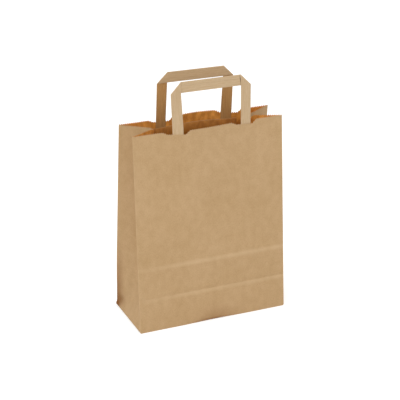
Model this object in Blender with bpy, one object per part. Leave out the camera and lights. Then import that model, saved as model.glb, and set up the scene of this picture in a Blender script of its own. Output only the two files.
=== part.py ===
"""Flat-handled kraft paper gift bag, standing open on its block bottom.

The body is one folded and glued sheet: a tube with a gusset in each narrow side, a pinked mouth with
a dip round every handle leg, a glued lap down the middle of the rear panel and a block bottom of two
ears, four webs and two long flaps. Two folded tape handles are glued inside the long panels, each
under its own paper patch. X runs along the width, the front panel faces -Y, and the origin is the
middle of the base on the floor.
"""

import math

import bmesh
import bpy
from mathutils import Vector

# The sheet and the folded bag
BAG_WIDTH = 0.220
BAG_DEPTH = 0.096
PANEL_HEIGHT = 0.282
PAPER = 0.00015
GLUE_LINE = 0.00005
LAP_WIDTH = 0.012
LAP_EASE = 0.0005
LAP_JOG = 0.002
FLAP_LAP = 0.010
CORNER_HOLE = 0.0010
CREASE_SINK = 0.0008

# How far the mouth stands open, and how its long edges bow outwards
MOUTH_GAP_LEFT = 0.050
MOUTH_GAP_RIGHT = 0.043
FRONT_BOW = 0.006
FRONT_BOW_PLACE = -0.020
REAR_BOW = 0.010
REAR_BOW_PLACE = 0.008

# The cut of the mouth: pinked teeth, and a dip for each pair of handle legs
TOOTH_PITCH = 0.0028
TOOTH_HEIGHT = 0.0010
DIP_SPACING = 0.100
DIP_FLOOR = 0.025
DIP_RAMP = 0.0065
DIP_DEPTH = 0.0045
KNIFE_OFFSET = 0.0018

# The tape handles and the patches that hold them
TAPE_WIDTH = 0.0145
TAPE = 0.0005
TAPE_FOLD_GAP = 0.00005
HANDLE_WIDTH = 0.1145
HANDLE_RISE = 0.0645
LEG_GLUED = 0.049
FRONT_HANDLE_PLACE = 0.0046
REAR_HANDLE_PLACE = -0.0013
PATCH_PAPER = 0.00015
PATCH_WIDTH = 0.130
PATCH_HEIGHT = 0.040
PATCH_DROP = 0.014
PATCH_MARGIN = 0.0006
PATCH_RAMP = 0.0020
SEAT = 0.0003

# How finely the bowed surfaces are divided
COLUMN_PITCH = 0.011
ROW_PITCH = 0.030
TOP_ROW_DROP = 0.008
WELD = 0.000001

# Values that follow from those above
FRONT = -1
REAR = 1
HALF_WIDTH = BAG_WIDTH / 2
HALF_DEPTH = BAG_DEPTH / 2
MEAN_GAP = (MOUTH_GAP_LEFT + MOUTH_GAP_RIGHT) / 2
LEAN_COSINE = math.sqrt(1 - ((BAG_DEPTH - MEAN_GAP) / 2 / PANEL_HEIGHT) ** 2)
PLY = PAPER + GLUE_LINE
FRONT_FLAP_LEVEL = PAPER / 2
FRONT_WEB_LEVEL = FRONT_FLAP_LEVEL + PLY
REAR_FLAP_LEVEL = FRONT_FLAP_LEVEL + 2 * PLY
REAR_WEB_LEVEL = FRONT_FLAP_LEVEL + 3 * PLY
EAR_LEVEL = FRONT_FLAP_LEVEL + 4 * PLY
EAR_INSET = 2 * PLY
HOLE_EDGE = HALF_WIDTH - CORNER_HOLE
SLANT_START = HOLE_EDGE - EAR_INSET
FLAP_REACH = HALF_DEPTH + FLAP_LAP
FLAP_END = HOLE_EDGE - FLAP_REACH
LEG_PLACE = (HANDLE_WIDTH - TAPE_WIDTH) / 2
LAP_INNER_EDGE = LAP_WIDTH / 2
LAP_OUTER_EDGE = -LAP_WIDTH / 2
TOP_ROW = PANEL_HEIGHT - DIP_DEPTH - TOOTH_HEIGHT - TOP_ROW_DROP

KRAFT_COLOUR = (0.508, 0.337, 0.178, 1.0)
TAPE_COLOUR = (0.571, 0.418, 0.266, 1.0)
PATCH_COLOUR = (0.479, 0.311, 0.158, 1.0)


def remove_old_objects():
    """Empties the scene."""
    for item in list(bpy.data.objects):
        bpy.data.objects.remove(item, do_unlink=True)


def paper_material(name, colour, roughness):
    """A matt paper with one colour."""
    material = bpy.data.materials.new(name)
    material.use_nodes = True
    shader = material.node_tree.nodes["Principled BSDF"]
    shader.inputs["Base Color"].default_value = colour
    shader.inputs["Roughness"].default_value = roughness
    shader.inputs["Metallic"].default_value = 0.0
    return material


def divided(pitch, *stops):
    """Places from the first stop to the last, through every stop, at most pitch apart."""
    places = [stops[0]]
    for low, high in zip(stops, stops[1:]):
        count = max(1, math.ceil((high - low) / pitch - 0.001))
        places.extend(low + (high - low) * step / count for step in range(1, count + 1))
    return places


def pinked(start, end):
    """Places along a cut from start to end, each with the depth of the cut there.

    Both ends are the bottoms of teeth.
    """
    teeth = max(1, round(abs(end - start) / TOOTH_PITCH))
    for step in range(2 * teeth + 1):
        depth = TOOTH_HEIGHT if step % 2 == 0 else 0.0
        yield start + (end - start) * step / (2 * teeth), depth


def mouth_gap(across):
    """Distance between the long panels at the mouth, which closes evenly from left to right."""
    share = across / BAG_WIDTH + 0.5
    return MOUTH_GAP_LEFT + (MOUTH_GAP_RIGHT - MOUTH_GAP_LEFT) * share


def mouth_bow(side, across):
    """How far the mouth bows outwards: a single hump that dies out at the side edges."""
    height, place = (FRONT_BOW, FRONT_BOW_PLACE) if side == FRONT else (REAR_BOW, REAR_BOW_PLACE)
    room = HALF_WIDTH - place if across > place else HALF_WIDTH + place
    return height * math.cos(math.pi / 2 * (across - place) / room) ** 4


def panel_point(side, across, up, inset=0.0):
    """A point in the middle of the paper of the front or rear panel.

    across is measured along the width, up along the leaning panel from the floor, and inset towards
    the inside of the bag. Above the mouth the panel's surface goes on straight, for the handles.
    """
    share = up / PANEL_HEIGHT
    bow_share = share ** 3 if share < 1 else 3 * share - 2
    reach = HALF_DEPTH * (1 - share) + mouth_gap(across) / 2 * share
    reach += mouth_bow(side, across) * bow_share
    if side == FRONT:
        reach -= CREASE_SINK * max(0.0, 1 - abs(up / HALF_DEPTH - 1))
    return Vector((across, side * (reach - inset), up * LEAN_COSINE))


def gusset_crease(end, up):
    """A point on the inward crease of a narrow side.

    Half of the side is as wide as half of the depth, so where the panels stand reach apart from the
    middle, the crease lies sqrt(half depth squared - reach squared) inside the side edge, and lower
    than the edge by what the panels lean.
    """
    edge = panel_point(REAR, end * HALF_WIDTH, up)
    sunk = math.sqrt(HALF_DEPTH ** 2 - edge.y ** 2)
    lean = (BAG_DEPTH - mouth_gap(end * HALF_WIDTH)) / 2 / PANEL_HEIGHT
    return Vector((end * (HALF_WIDTH - sunk), 0.0, edge.z - edge.y * lean))


def gusset_point(end, side, along, up):
    """A point on half of a gusset, along from the bag's edge to the crease."""
    edge = panel_point(side, end * HALF_WIDTH, up)
    return edge.lerp(gusset_crease(end, up), along / HALF_DEPTH)


def mouth_height(flat_across):
    """Height of the knife's cut across the flattened tube, where it dips for the handle legs."""
    height = PANEL_HEIGHT
    for centre in (KNIFE_OFFSET - DIP_SPACING / 2, KNIFE_OFFSET + DIP_SPACING / 2):
        beyond = abs(flat_across - centre) - DIP_FLOOR / 2
        height -= DIP_DEPTH * min(1.0, max(0.0, 1 - beyond / DIP_RAMP))
    return height


def at_height(side, across, level, inset=0.0):
    """A point of a panel at a height above the floor."""
    return panel_point(side, across, level / LEAN_COSINE, inset)


class Sheet:
    """Faces of a sheet's middle surface, joined where their corners meet."""

    def __init__(self):
        self.mesh = bmesh.new()

    def face(self, points):
        """Adds one face."""
        self.mesh.faces.new([self.mesh.verts.new(point) for point in points])

    def grid(self, columns, rows, place):
        """Adds the faces between columns and rows, with place(column, row) as their corners."""
        for left, right in zip(columns, columns[1:]):
            for low, high in zip(rows, rows[1:]):
                corners = (place(left, low), place(right, low), place(right, high), place(left, high))
                self.face(corners)

    def solid(self, name, thickness, material):
        """Welds the sheet, gives it its thickness and puts it in the scene."""
        bmesh.ops.remove_doubles(self.mesh, verts=self.mesh.verts, dist=WELD)
        bmesh.ops.recalc_face_normals(self.mesh, faces=self.mesh.faces)
        bmesh.ops.triangulate(self.mesh, faces=self.mesh.faces)
        data = bpy.data.meshes.new(name)
        self.mesh.to_mesh(data)
        self.mesh.free()
        data.materials.append(material)
        item = bpy.data.objects.new(name, data)
        bpy.context.scene.collection.objects.link(item)
        wall = item.modifiers.new("thickness", "SOLIDIFY")
        wall.thickness = thickness
        wall.offset = 0.0
        wall.solidify_mode = "NON_MANIFOLD"
        wall.nonmanifold_thickness_mode = "CONSTRAINTS"
        wall.nonmanifold_boundary_mode = "NONE"
        wall.nonmanifold_merge_threshold = WELD


def panel_rows():
    """Heights of the rows of a panel above the base crease."""
    return divided(ROW_PITCH, HALF_DEPTH, BAG_DEPTH, TOP_ROW)


def add_panel(sheet, side, level, columns):
    """Adds a long panel or one ply of it, from its bottom fold at level up to the pinked mouth.

    columns are pairs of a place across and how many plies the paper stands out there.
    """
    def place(column, up):
        return panel_point(side, column[0], up, -PLY * column[1])

    rows = [EAR_LEVEL / LEAN_COSINE] + panel_rows()
    sheet.grid(columns, rows, place)
    for left, right in zip(columns, columns[1:]):
        fold = fold_points(side, level, left, right)
        sheet.face(fold + [place(right, rows[0]), place(left, rows[0])])
        cut = []
        for across, depth in pinked(right[0], left[0]):
            share = (across - left[0]) / (right[0] - left[0])
            plies = left[1] + (right[1] - left[1]) * share
            cut.append(place((across, plies), mouth_height(across) - depth))
        sheet.face([place(left, rows[-1]), place(right, rows[-1])] + cut)


def fold_point(side, level, column):
    """A point of the bottom fold, which lies a ply lower and further out where the paper laps."""
    across, plies = column
    return at_height(side, across, level - PLY * plies, -PLY * plies)


def fold_points(side, level, left, right):
    """The bottom fold of one column of a panel, with the corner hole's edge where there is one."""
    edges = [(edge, 0) for edge in (-HOLE_EDGE, HOLE_EDGE) if left[0] < edge < right[0]]
    return [fold_point(side, level, column) for column in [left, *edges, right]]


def slant_point(side, level, across):
    """A point of a long flap's slanted edge, which runs at 45 degrees from the corner hole."""
    fold = at_height(side, across, level)
    return Vector((across, fold.y - side * (HOLE_EDGE - abs(across)), level))


def slant_places(end, columns):
    """Where a flap's slanted edge is joined to its web, from the corner to the flap's free edge."""
    crossed = sorted((abs(across) for across, plies in columns if across * end > 0), reverse=True)
    between = [place for place in crossed if FLAP_END < place < SLANT_START]
    return [end * place for place in [SLANT_START, *between, FLAP_END]]


def flap_edge(side, level, left, right):
    """The free side of one column of a long flap, from right to left."""
    if max(abs(left[0]), abs(right[0])) > FLAP_END + WELD:
        ends = [math.copysign(min(abs(across), SLANT_START), across) for across in (right[0], left[0])]
        return [slant_point(side, level, across) for across in ends]
    points = []
    for across, depth in pinked(right[0], left[0]):
        share = (across - left[0]) / (right[0] - left[0])
        drop = PLY * (left[1] + (right[1] - left[1]) * share)
        point = slant_point(side, level, math.copysign(FLAP_END, across))
        if abs(abs(across) - FLAP_END) > WELD:
            point.y += side * depth
        points.append(Vector((across, point.y, level - drop)))
    return points


def add_flap(sheet, side, level, columns):
    """Adds a long flap of the base, with slanted ends and a pinked free edge past the middle."""
    for left, right in zip(columns, columns[1:]):
        ends = [(max(-HOLE_EDGE, min(HOLE_EDGE, across)), plies) for across, plies in (left, right)]
        fold = [fold_point(side, level, column) for column in ends]
        sheet.face(fold + flap_edge(side, level, left, right))


def add_web(sheet, end, side, flap_level, web_level, columns):
    """Adds the triangle folded in between an ear and a long flap, with its two turned edges."""
    places = slant_places(end, columns)
    low = [slant_point(side, flap_level, across) for across in places]
    high = [Vector((point.x, point.y, web_level)) for point in low]
    for near, far, upper_far, upper_near in zip(low, low[1:], high[1:], high):
        sheet.face([near, far, upper_far, upper_near])
    corner = Vector((high[-1].x, high[0].y, web_level))
    cut = []
    for along, depth in pinked(corner.y, high[-1].y):
        cut.append(Vector((corner.x + end * depth, along, web_level)))
    cut[0] = corner
    cut[-1] = high[-1]
    sheet.face(high[:-1] + cut[::-1])
    lifted = [Vector((point.x, point.y, EAR_LEVEL)) for point in (high[0], corner)]
    sheet.face([high[0], corner, lifted[1], lifted[0]])


def add_ear(sheet, end):
    """Adds the end flap that is folded in first and lies on top, inside the bag."""
    hole_edge = HALF_DEPTH - CORNER_HOLE
    start = end * SLANT_START
    front = slant_point(FRONT, FRONT_FLAP_LEVEL, start).y
    rear = slant_point(REAR, REAR_FLAP_LEVEL, start).y
    outline = [(end * HALF_WIDTH, hole_edge), (end * HALF_WIDTH, -hole_edge), (start, front)]
    cut = [(end * (FLAP_END + depth), along) for along, depth in pinked(front, rear)]
    cut[0] = (end * FLAP_END, front)
    cut[-1] = (end * FLAP_END, rear)
    outline.extend(cut)
    outline.append((start, rear))
    sheet.face([Vector((across, along, EAR_LEVEL)) for across, along in outline])


def add_gusset(sheet, end):
    """Adds a narrow side: three triangles above its bottom fold and two halves up to the mouth."""
    low = EAR_LEVEL / LEAN_COSINE
    hole_edge = HALF_DEPTH - CORNER_HOLE
    peak = gusset_crease(end, HALF_DEPTH)
    corners = {side: panel_point(side, end * HALF_WIDTH, low) for side in (FRONT, REAR)}
    bottom = [Vector((end * HALF_WIDTH, side * hole_edge, EAR_LEVEL)) for side in (FRONT, REAR)]
    sheet.face([corners[FRONT]] + bottom + [corners[REAR], peak])
    halves = divided(HALF_DEPTH / 2, 0.0, HALF_DEPTH)
    for side in (FRONT, REAR):
        def place(along, up, side=side):
            return gusset_point(end, side, along, up)

        rim_of_triangle = [place(along, HALF_DEPTH) for along in halves]
        sheet.face([corners[side]] + rim_of_triangle)
        rows = panel_rows()
        sheet.grid(halves, rows, place)
        for left, right in zip(halves, halves[1:]):
            cut = []
            for along, depth in pinked(right, left):
                cut.append(place(along, mouth_height(end * (HALF_WIDTH - along)) - depth))
            sheet.face([place(left, rows[-1]), place(right, rows[-1])] + cut)


def make_body():
    """The folded and glued sheet."""
    sheet = Sheet()
    jog_start = LAP_INNER_EDGE + LAP_EASE
    jog_end = jog_start + LAP_JOG
    front = [(x, 0) for x in divided(COLUMN_PITCH, -HALF_WIDTH, -FLAP_END, FLAP_END, HALF_WIDTH)]
    lap = divided(COLUMN_PITCH, LAP_OUTER_EDGE, LAP_INNER_EDGE)
    inner_ply = [(x, 0) for x in divided(COLUMN_PITCH, -HALF_WIDTH, -FLAP_END, LAP_OUTER_EDGE)]
    inner_ply += [(x, 0) for x in lap[1:]]
    outer_ply = [(x, 1) for x in [*lap, jog_start]]
    outer_ply += [(x, 0) for x in divided(COLUMN_PITCH, jog_end, FLAP_END, HALF_WIDTH)]
    add_panel(sheet, FRONT, FRONT_FLAP_LEVEL, front)
    add_flap(sheet, FRONT, FRONT_FLAP_LEVEL, front)
    for ply in (inner_ply, outer_ply):
        add_panel(sheet, REAR, REAR_FLAP_LEVEL, ply)
        add_flap(sheet, REAR, REAR_FLAP_LEVEL, ply)
    for end, rear in ((-1, inner_ply), (1, outer_ply)):
        add_web(sheet, end, FRONT, FRONT_FLAP_LEVEL, FRONT_WEB_LEVEL, front)
        add_web(sheet, end, REAR, REAR_FLAP_LEVEL, REAR_WEB_LEVEL, rear)
        add_ear(sheet, end)
        add_gusset(sheet, end)
    sheet.solid("bag_body", PAPER, paper_material("kraft_paper", KRAFT_COLOUR, 0.75))


def tape_point(side, centre, across, up, inset):
    """A point in the middle of a handle's tape, across from the middle of the handle.

    Up to the mouth the tape follows the bowed panel. Above it the legs turn until they lie in one
    flat strip with the grip, which runs straight from leg to leg.
    """
    panel = panel_point(side, centre + across, up, inset)
    left, right = (panel_point(side, centre + leg, up, inset) for leg in (-LEG_PLACE, LEG_PLACE))
    straight = left.lerp(right, (across + LEG_PLACE) / (2 * LEG_PLACE))
    turned = (up - PANEL_HEIGHT) / (HANDLE_RISE - TAPE_WIDTH)
    return panel.lerp(straight, max(0.0, min(1.0, turned)))


def make_handle(name, side, centre):
    """A handle of flat tape: two glued legs, each turned over at 45 degrees into the grip."""
    sheet = Sheet()
    leg_inset = PAPER / 2 + SEAT + TAPE / 2
    grip_inset = leg_inset + TAPE + TAPE_FOLD_GAP
    outer = HANDLE_WIDTH / 2
    inner = outer - TAPE_WIDTH
    top = PANEL_HEIGHT + HANDLE_RISE
    under = top - TAPE_WIDTH
    rows = divided(COLUMN_PITCH, PANEL_HEIGHT - LEG_GLUED, PANEL_HEIGHT, under)

    def leg(across, up):
        return tape_point(side, centre, across, up, leg_inset)

    def grip(across, up):
        return tape_point(side, centre, across, up, grip_inset)

    for end in (-1, 1):
        near, far = end * inner, end * outer
        sheet.grid([near, far], rows, leg)
        sheet.face([leg(near, under), leg(far, under), leg(near, top)])
        sheet.face([leg(far, under), leg(near, top), grip(near, top), grip(far, under)])
        sheet.face([grip(near, under), grip(far, under), grip(near, top)])
    sheet.grid([-inner, inner], [under, top], grip)
    sheet.solid(name, TAPE, paper_material(name + "_paper", TAPE_COLOUR, 0.7))


def make_patch(name, side, centre):
    """The paper that holds a handle: flat on the panel, and lifted over both legs."""
    sheet = Sheet()
    flat_inset = PAPER / 2 + SEAT + PATCH_PAPER / 2
    lift = TAPE + SEAT
    lifted_half = TAPE_WIDTH / 2 + PATCH_MARGIN
    half = PATCH_WIDTH / 2

    def place(across, up):
        beyond = abs(abs(across) - LEG_PLACE) - lifted_half
        inset = flat_inset + lift * min(1.0, max(0.0, 1 - beyond / PATCH_RAMP))
        return panel_point(side, centre + across, up, inset)

    inner_foot = LEG_PLACE - lifted_half - PATCH_RAMP
    outer_foot = LEG_PLACE + lifted_half + PATCH_RAMP
    steps = [inner_foot, inner_foot + PATCH_RAMP, outer_foot - PATCH_RAMP, outer_foot, half]
    columns = divided(COLUMN_PITCH, *[-step for step in reversed(steps)], *steps)
    top = PANEL_HEIGHT - PATCH_DROP
    rows = divided(COLUMN_PITCH, top - PATCH_HEIGHT, top)
    sheet.grid(columns, rows, place)
    sheet.solid(name, PATCH_PAPER, paper_material(name + "_paper", PATCH_COLOUR, 0.8))


def main():
    """Builds every piece of the bag."""
    remove_old_objects()
    make_body()
    for label, side, place in (("front", FRONT, FRONT_HANDLE_PLACE), ("rear", REAR, REAR_HANDLE_PLACE)):
        make_handle(label + "_handle", side, place)
        make_patch(label + "_handle_patch", side, place)


main()
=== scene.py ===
"""Looks of a flat-handled kraft paper gift bag.

One folded body sheet, two folded tape handles, two glued patches and a white studio round them.
X runs along the width, the front panel faces -Y, and lengths are in metres.
"""

import logging
import math
from dataclasses import dataclass
from enum import Enum
from typing import Any, Sequence

import bmesh
import bpy
import numpy as np
from mathutils import Matrix, Vector


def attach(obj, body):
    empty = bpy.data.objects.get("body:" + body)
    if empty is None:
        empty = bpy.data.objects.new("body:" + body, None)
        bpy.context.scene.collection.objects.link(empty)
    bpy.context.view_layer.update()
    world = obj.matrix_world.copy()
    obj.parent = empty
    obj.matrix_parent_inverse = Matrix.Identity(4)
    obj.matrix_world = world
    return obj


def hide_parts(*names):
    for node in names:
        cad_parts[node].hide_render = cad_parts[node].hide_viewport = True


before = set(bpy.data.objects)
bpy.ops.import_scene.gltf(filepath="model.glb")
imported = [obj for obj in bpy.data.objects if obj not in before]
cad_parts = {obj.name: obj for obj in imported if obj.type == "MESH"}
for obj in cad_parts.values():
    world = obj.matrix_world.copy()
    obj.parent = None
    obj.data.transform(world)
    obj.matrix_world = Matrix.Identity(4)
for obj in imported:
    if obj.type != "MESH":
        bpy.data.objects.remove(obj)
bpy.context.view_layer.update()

log = logging.getLogger("paper_bag")

Array = np.ndarray
Tree = bpy.types.NodeTree
Node = bpy.types.Node
Piece = bpy.types.Object
MM = 0.001
SHARP_DEGREES = 50.0
WELD = 2e-6
SLIVER = 1e-7
# The sheet attribute also carries scuffing and painted highlight; the marks one carries the darkening, mostly
# painted shade.
SHEET_ATTRIBUTE = "sheet"
FACING_ATTRIBUTE = "facing"
MARK_ATTRIBUTE = "marks"
# Painted shade and warm bounce light on the tape's faces that look into the bag.
PAINTED_INNER_SHADE_ATTRIBUTE = "painted_inner_shade"


class Side(Enum):
    """A long panel, with the sign of the direction it faces."""

    FRONT = -1
    REAR = 1


class End(Enum):
    """A narrow side, with the sign of its direction."""

    LEFT = -1
    RIGHT = 1


class Facing(Enum):
    """Which surface of the paper a face belongs to."""

    OUTSIDE = 0.0
    INSIDE = 1.0
    CUT_EDGE = 2.0


def smooth_step(value: Array) -> Array:
    """Rises from 0 to 1 as value does, level at both ends: 3 v squared less 2 v cubed."""
    held = np.clip(value, 0.0, 1.0)
    return held * held * (3 - 2 * held)


def hump(value: Array, centre: float, half_width: float) -> Array:
    """A single smooth hump: one at the centre and nought from half_width on, as a squared cosine."""
    return np.cos(np.clip((value - centre) / half_width, -1, 1) * math.pi / 2) ** 2


def soft_limit(value: Array, width: Array) -> Array:
    """Follows a value from nought up to one and stays there, with a soft bend in between.

    The bend is the lower branch of the hyperbola round the two straight lines, and the value that
    it has at nought is taken off again there.

    Args:
        value: Numbers from nought on.
        width: How far the bend reaches.

    Returns:
        Numbers from nought to one.
    """
    bend = (value + 1 - np.sqrt((value - 1) ** 2 + width**2)) / 2
    at_nought = (1 - np.sqrt(1 + width**2)) / 2
    return bend - at_nought * np.clip(1 - value, 0, 1)


def blend_curve(before: Array, middle: Array, after: Array, share: Array) -> Array:
    """A quadratic curve from one point to another, pulled towards a middle one."""
    share = share[..., None]
    return (1 - share) ** 2 * before + 2 * share * (1 - share) * middle + share**2 * after


@dataclass(frozen=True)
class MouthEdge:
    """A long edge of the mouth: its reach from the middle plane at either end, and its bow."""

    left: float
    right: float
    bow: float
    bow_place: float


@dataclass(frozen=True)
class BagSizes:
    """Sizes of the folded bag: the CAD's, but for the mouth's reach, its teeth and slanting dips."""

    width: float = 0.220
    depth: float = 0.096
    panel_height: float = 0.282
    paper: float = 0.00015
    glue_line: float = 0.00005
    lap_jog: float = 0.002
    lap_margin: float = 0.0005
    flap_lap: float = 0.010
    corner_hole: float = 0.0010
    corner_rise: float = 0.0016
    front_mouth: MouthEdge = MouthEdge(left=0.0250, right=0.0220, bow=0.006, bow_place=-0.020)
    rear_mouth: MouthEdge = MouthEdge(left=0.0255, right=0.0215, bow=0.010, bow_place=0.008)
    tooth_height: float = 0.0018
    dip_spacing: float = 0.100
    dip_floor: float = 0.025
    dip_ramp: float = 0.0065
    dip_depth: float = 0.0045
    dip_tilt: float = 0.0011
    knife_offset: float = 0.0018
    # Plies of the base, counted from the floor. A web lies one above its flap.
    front_flap_ply: int = 0
    rear_flap_ply: int = 2
    ear_ply: int = 4

    @property
    def half_width(self) -> float:
        """Half of the bag's width."""
        return self.width / 2

    @property
    def half_depth(self) -> float:
        """Half of the bag's depth, which is also the width of half a gusset."""
        return self.depth / 2

    @property
    def lean(self) -> float:
        """How far a long panel leans inwards for each metre along it."""
        front, rear = self.front_mouth, self.rear_mouth
        mouth = (front.left + front.right + rear.left + rear.right) / 4
        return (self.half_depth - mouth) / self.panel_height

    @property
    def lean_cosine(self) -> float:
        """Height gained for each metre along a leaning panel."""
        return math.sqrt(1 - self.lean**2)

    @property
    def ply(self) -> float:
        """From one glued ply of paper to the next."""
        return self.paper + self.glue_line

    def mouth(self, side: Side) -> MouthEdge:
        """The mouth's long edge on one side."""
        return self.front_mouth if side is Side.FRONT else self.rear_mouth

    def flap_ply(self, side: Side) -> int:
        """Which ply of the base a long flap is."""
        return self.front_flap_ply if side is Side.FRONT else self.rear_flap_ply

    def level(self, plies: int) -> float:
        """Height of the middle of the paper of a ply of the base, counted from the floor."""
        return self.paper / 2 + plies * self.ply


@dataclass(frozen=True)
class Relief:
    """Small shapes that use and folding leave in the paper, in metres or as shares."""

    # The two creases round the foot, and how clear they are along a panel.
    crease_sink: float = 0.0008
    crease_nip: float = 0.00045
    crease_nip_reach: float = 0.0048
    press_place: float = 0.0915
    press_band: float = 0.0070
    press_step: float = 0.00065
    press_fade: float = 0.034
    left_clear: float = 0.35
    rear_clear: float = 0.5
    clear_over: float = 0.08
    crease_end: float = 0.004
    # Ripples of the long panels, which grow stronger towards the mouth.
    ripple: float = 0.00016
    ripple_onset: float = 0.03
    taut: float = 0.6
    slack: float = 0.9
    slack_from: float = 0.1
    slack_over: float = 0.15
    rear_wave_shift: float = 0.05
    # The gussets: the soft bend of their low triangles, then their ripples and press mark.
    foot_bend: float = 0.3
    side_gain: float = 1.4
    side_edge: float = 0.25
    side_calm: float = 0.02
    side_onset: float = 0.05
    side_squeeze: float = 1.3
    side_wave_shifts: tuple[float, float] = (0.04, 0.11)
    side_press: float = 0.3
    side_press_drop: float = 0.004
    side_press_reach: float = 0.009
    side_push: tuple[float, float] = (0.8, -0.6)
    # Roundings of the folds: all, the front bottom one's curl and the rear left one's slack heel.
    fold_radius: float = 0.0006
    curl_radius: float = 0.0022
    curl_place: float = 0.002
    curl_half_width: float = 0.052
    heel_radius: float = 0.0034
    heel_height: float = 0.100
    heel_floor: float = 0.001
    heel_onset: float = 0.007


class BagForm:
    """The shape of the middle of the paper, as functions of a place on the sheet."""

    # Length of each wave, its direction in degrees from the width and its phase.
    WAVES = (
        (0.097, 20.0, 0.3),
        (0.071, 75.0, 1.9),
        (0.058, -40.0, 4.1),
        (0.043, 5.0, 2.6),
        (0.037, 62.0, 5.2),
        (0.029, -15.0, 0.9),
    )

    def __init__(self, sizes: BagSizes, relief: Relief) -> None:
        """Keeps the sizes of the folded bag and of the small shapes in its paper."""
        self.sizes = sizes
        self.relief = relief

    def ripples(self, across: Array, up: Array) -> Array:
        """Slow unevenness of the paper: long sine waves, each as high as it is long.

        Args:
            across: Place along the width.
            up: Place up the panel.

        Returns:
            A value round nought, at most about one.
        """
        total = np.zeros(np.broadcast(across, up).shape)
        longest = self.WAVES[0][0]
        for length, degrees, phase in self.WAVES:
            angle = math.radians(degrees)
            travelled = (across * math.cos(angle) + up * math.sin(angle)) / length
            total = total + np.sin(2 * math.pi * travelled + phase) * length / longest
        return total / 2

    def mouth_reach(self, side: Side, across: Array) -> Array:
        """From the middle plane to a long panel at the mouth, even from its left to its right."""
        edge = self.sizes.mouth(side)
        return edge.left + (edge.right - edge.left) * (across / self.sizes.width + 0.5)

    def crease_strength(self, side: Side, across: Array) -> Array:
        """How clear the creases are: fully at the front's right, less at its left and the rear.

        Args:
            side: Which panel.
            across: Place along the width.

        Returns:
            A share of full clearness.
        """
        relief = self.relief
        if side is Side.REAR:
            return np.full_like(across, relief.rear_clear)
        risen = smooth_step((across + self.sizes.half_width) / relief.clear_over)
        return relief.left_clear + (1 - relief.left_clear) * risen

    def mouth_bow(self, side: Side, across: Array) -> Array:
        """How far the mouth bows outwards: the fourth power of a cosine round its place.

        Args:
            side: Which panel.
            across: Place along the width.

        Returns:
            Distance outwards.
        """
        edge, half_width = self.sizes.mouth(side), self.sizes.half_width
        place = edge.bow_place
        room = np.where(across > place, half_width - place, half_width + place)
        return edge.bow * np.cos(math.pi / 2 * np.clip((across - place) / room, -1, 1)) ** 4

    def creases(self, up: Array) -> Array:
        """How far a long panel stands back or out at the two creases round the bag's foot.

        The lower crease is a shallow V over the foot with a sharper nip in it. The upper one is a
        press mark: below it the paper stands out by a small step, which fades downwards.

        Args:
            up: Place up the panel.

        Returns:
            Distance outwards.
        """
        relief = self.relief
        centre = self.sizes.half_depth
        nipped = np.clip(1 - np.abs(up - centre) / relief.crease_nip_reach, 0, 1) ** 1.5
        out = -relief.crease_sink * np.clip(1 - np.abs(up / centre - 1), 0, 1) - relief.crease_nip * nipped
        below = smooth_step((relief.press_place + relief.press_band / 2 - up) / relief.press_band)
        kept = smooth_step((up - relief.press_place + relief.press_fade) / relief.press_fade)
        return out + relief.press_step * below * kept

    def panel(self, side: Side, across: Array, up: Array, inset: Array | float = 0.0) -> Array:
        """Points of a long panel, which goes on straight above the mouth for the handles.

        Half of the depth at the floor turns evenly into the reach at the mouth, and the bow grows
        with the cube of the height. Creases and ripples come on top.

        Args:
            side: Which panel.
            across: Place along the width.
            up: Place up the leaning panel.
            inset: Distance inwards.

        Returns:
            Points, one more axis than the places.
        """
        sizes, relief = self.sizes, self.relief
        across, up, inset = np.broadcast_arrays(np.asarray(across, float), up, inset)
        share = up / sizes.panel_height
        bow_share = np.where(share < 1, share**3, 3 * share - 2)
        reach = sizes.half_depth * (1 - share) + self.mouth_reach(side, across) * share
        reach = reach + self.mouth_bow(side, across) * bow_share
        held = np.clip(up, 0.0, sizes.panel_height)
        window = 1 - np.clip(across / sizes.half_width, -1, 1) ** 2
        window = window * smooth_step(held / relief.ripple_onset)
        strength = relief.taut + relief.slack * smooth_step((held - relief.slack_from) / relief.slack_over)
        turned = held + (relief.rear_wave_shift if side is Side.REAR else 0.0)
        reach = reach + relief.ripple * strength * window * self.ripples(across, turned)
        clear = smooth_step((sizes.half_width - np.abs(across)) / relief.crease_end)
        reach = reach + self.crease_strength(side, across) * clear * self.creases(up)
        return np.stack([across, side.value * (reach - inset), up * sizes.lean_cosine], axis=-1)

    def gusset_crease(self, end: End, up: Array) -> Array:
        """Points of the inward crease of a narrow side.

        Half of the side stays as wide as half of the depth, so the crease lies inside the side edge
        by the root of half depth squared less half of the open width squared, and a little lower.

        Args:
            end: Which side.
            up: Place up the panel.

        Returns:
            Points, one more axis than the places.
        """
        sizes = self.sizes
        place = end.value * sizes.half_width
        front, rear = (self.panel(side, np.full_like(up, place), up) for side in Side)
        half = (rear[..., 1] - front[..., 1]) / 2
        sunk = np.sqrt(np.maximum(sizes.half_depth**2 - half**2, 0))
        mouth = sum(self.mouth_reach(side, np.asarray(place)) for side in Side) / 2
        lean = (sizes.half_depth - mouth) / sizes.panel_height
        across = end.value * (sizes.half_width - sunk)
        return np.stack([across, (rear[..., 1] + front[..., 1]) / 2, rear[..., 2] - half * lean], axis=-1)

    def gusset_swell(self, end: End, side: Side, along: Array, up: Array) -> Array:
        """How far ripples and the upper press mark lift a gusset, less so near its folds and foot.

        Args:
            end: Which side.
            side: Front or rear half.
            along: Distance from the edge.
            up: Place up the panel.

        Returns:
            Distance outwards.
        """
        relief = self.relief
        share = along / self.sizes.half_depth
        room = smooth_step(share / relief.side_edge) * smooth_step((1 - share) / relief.side_edge)
        room = room * smooth_step((up - relief.side_calm) / relief.side_onset)
        sideways, upwards = relief.side_wave_shifts
        waves = self.ripples(along * relief.side_squeeze + sideways * side.value, up + upwards * end.value)
        mark = hump(up, relief.press_place - relief.side_press_drop, relief.side_press_reach)
        swell = relief.ripple * room * waves + relief.side_press * relief.press_step * room * mark
        return relief.side_gain * swell

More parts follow.
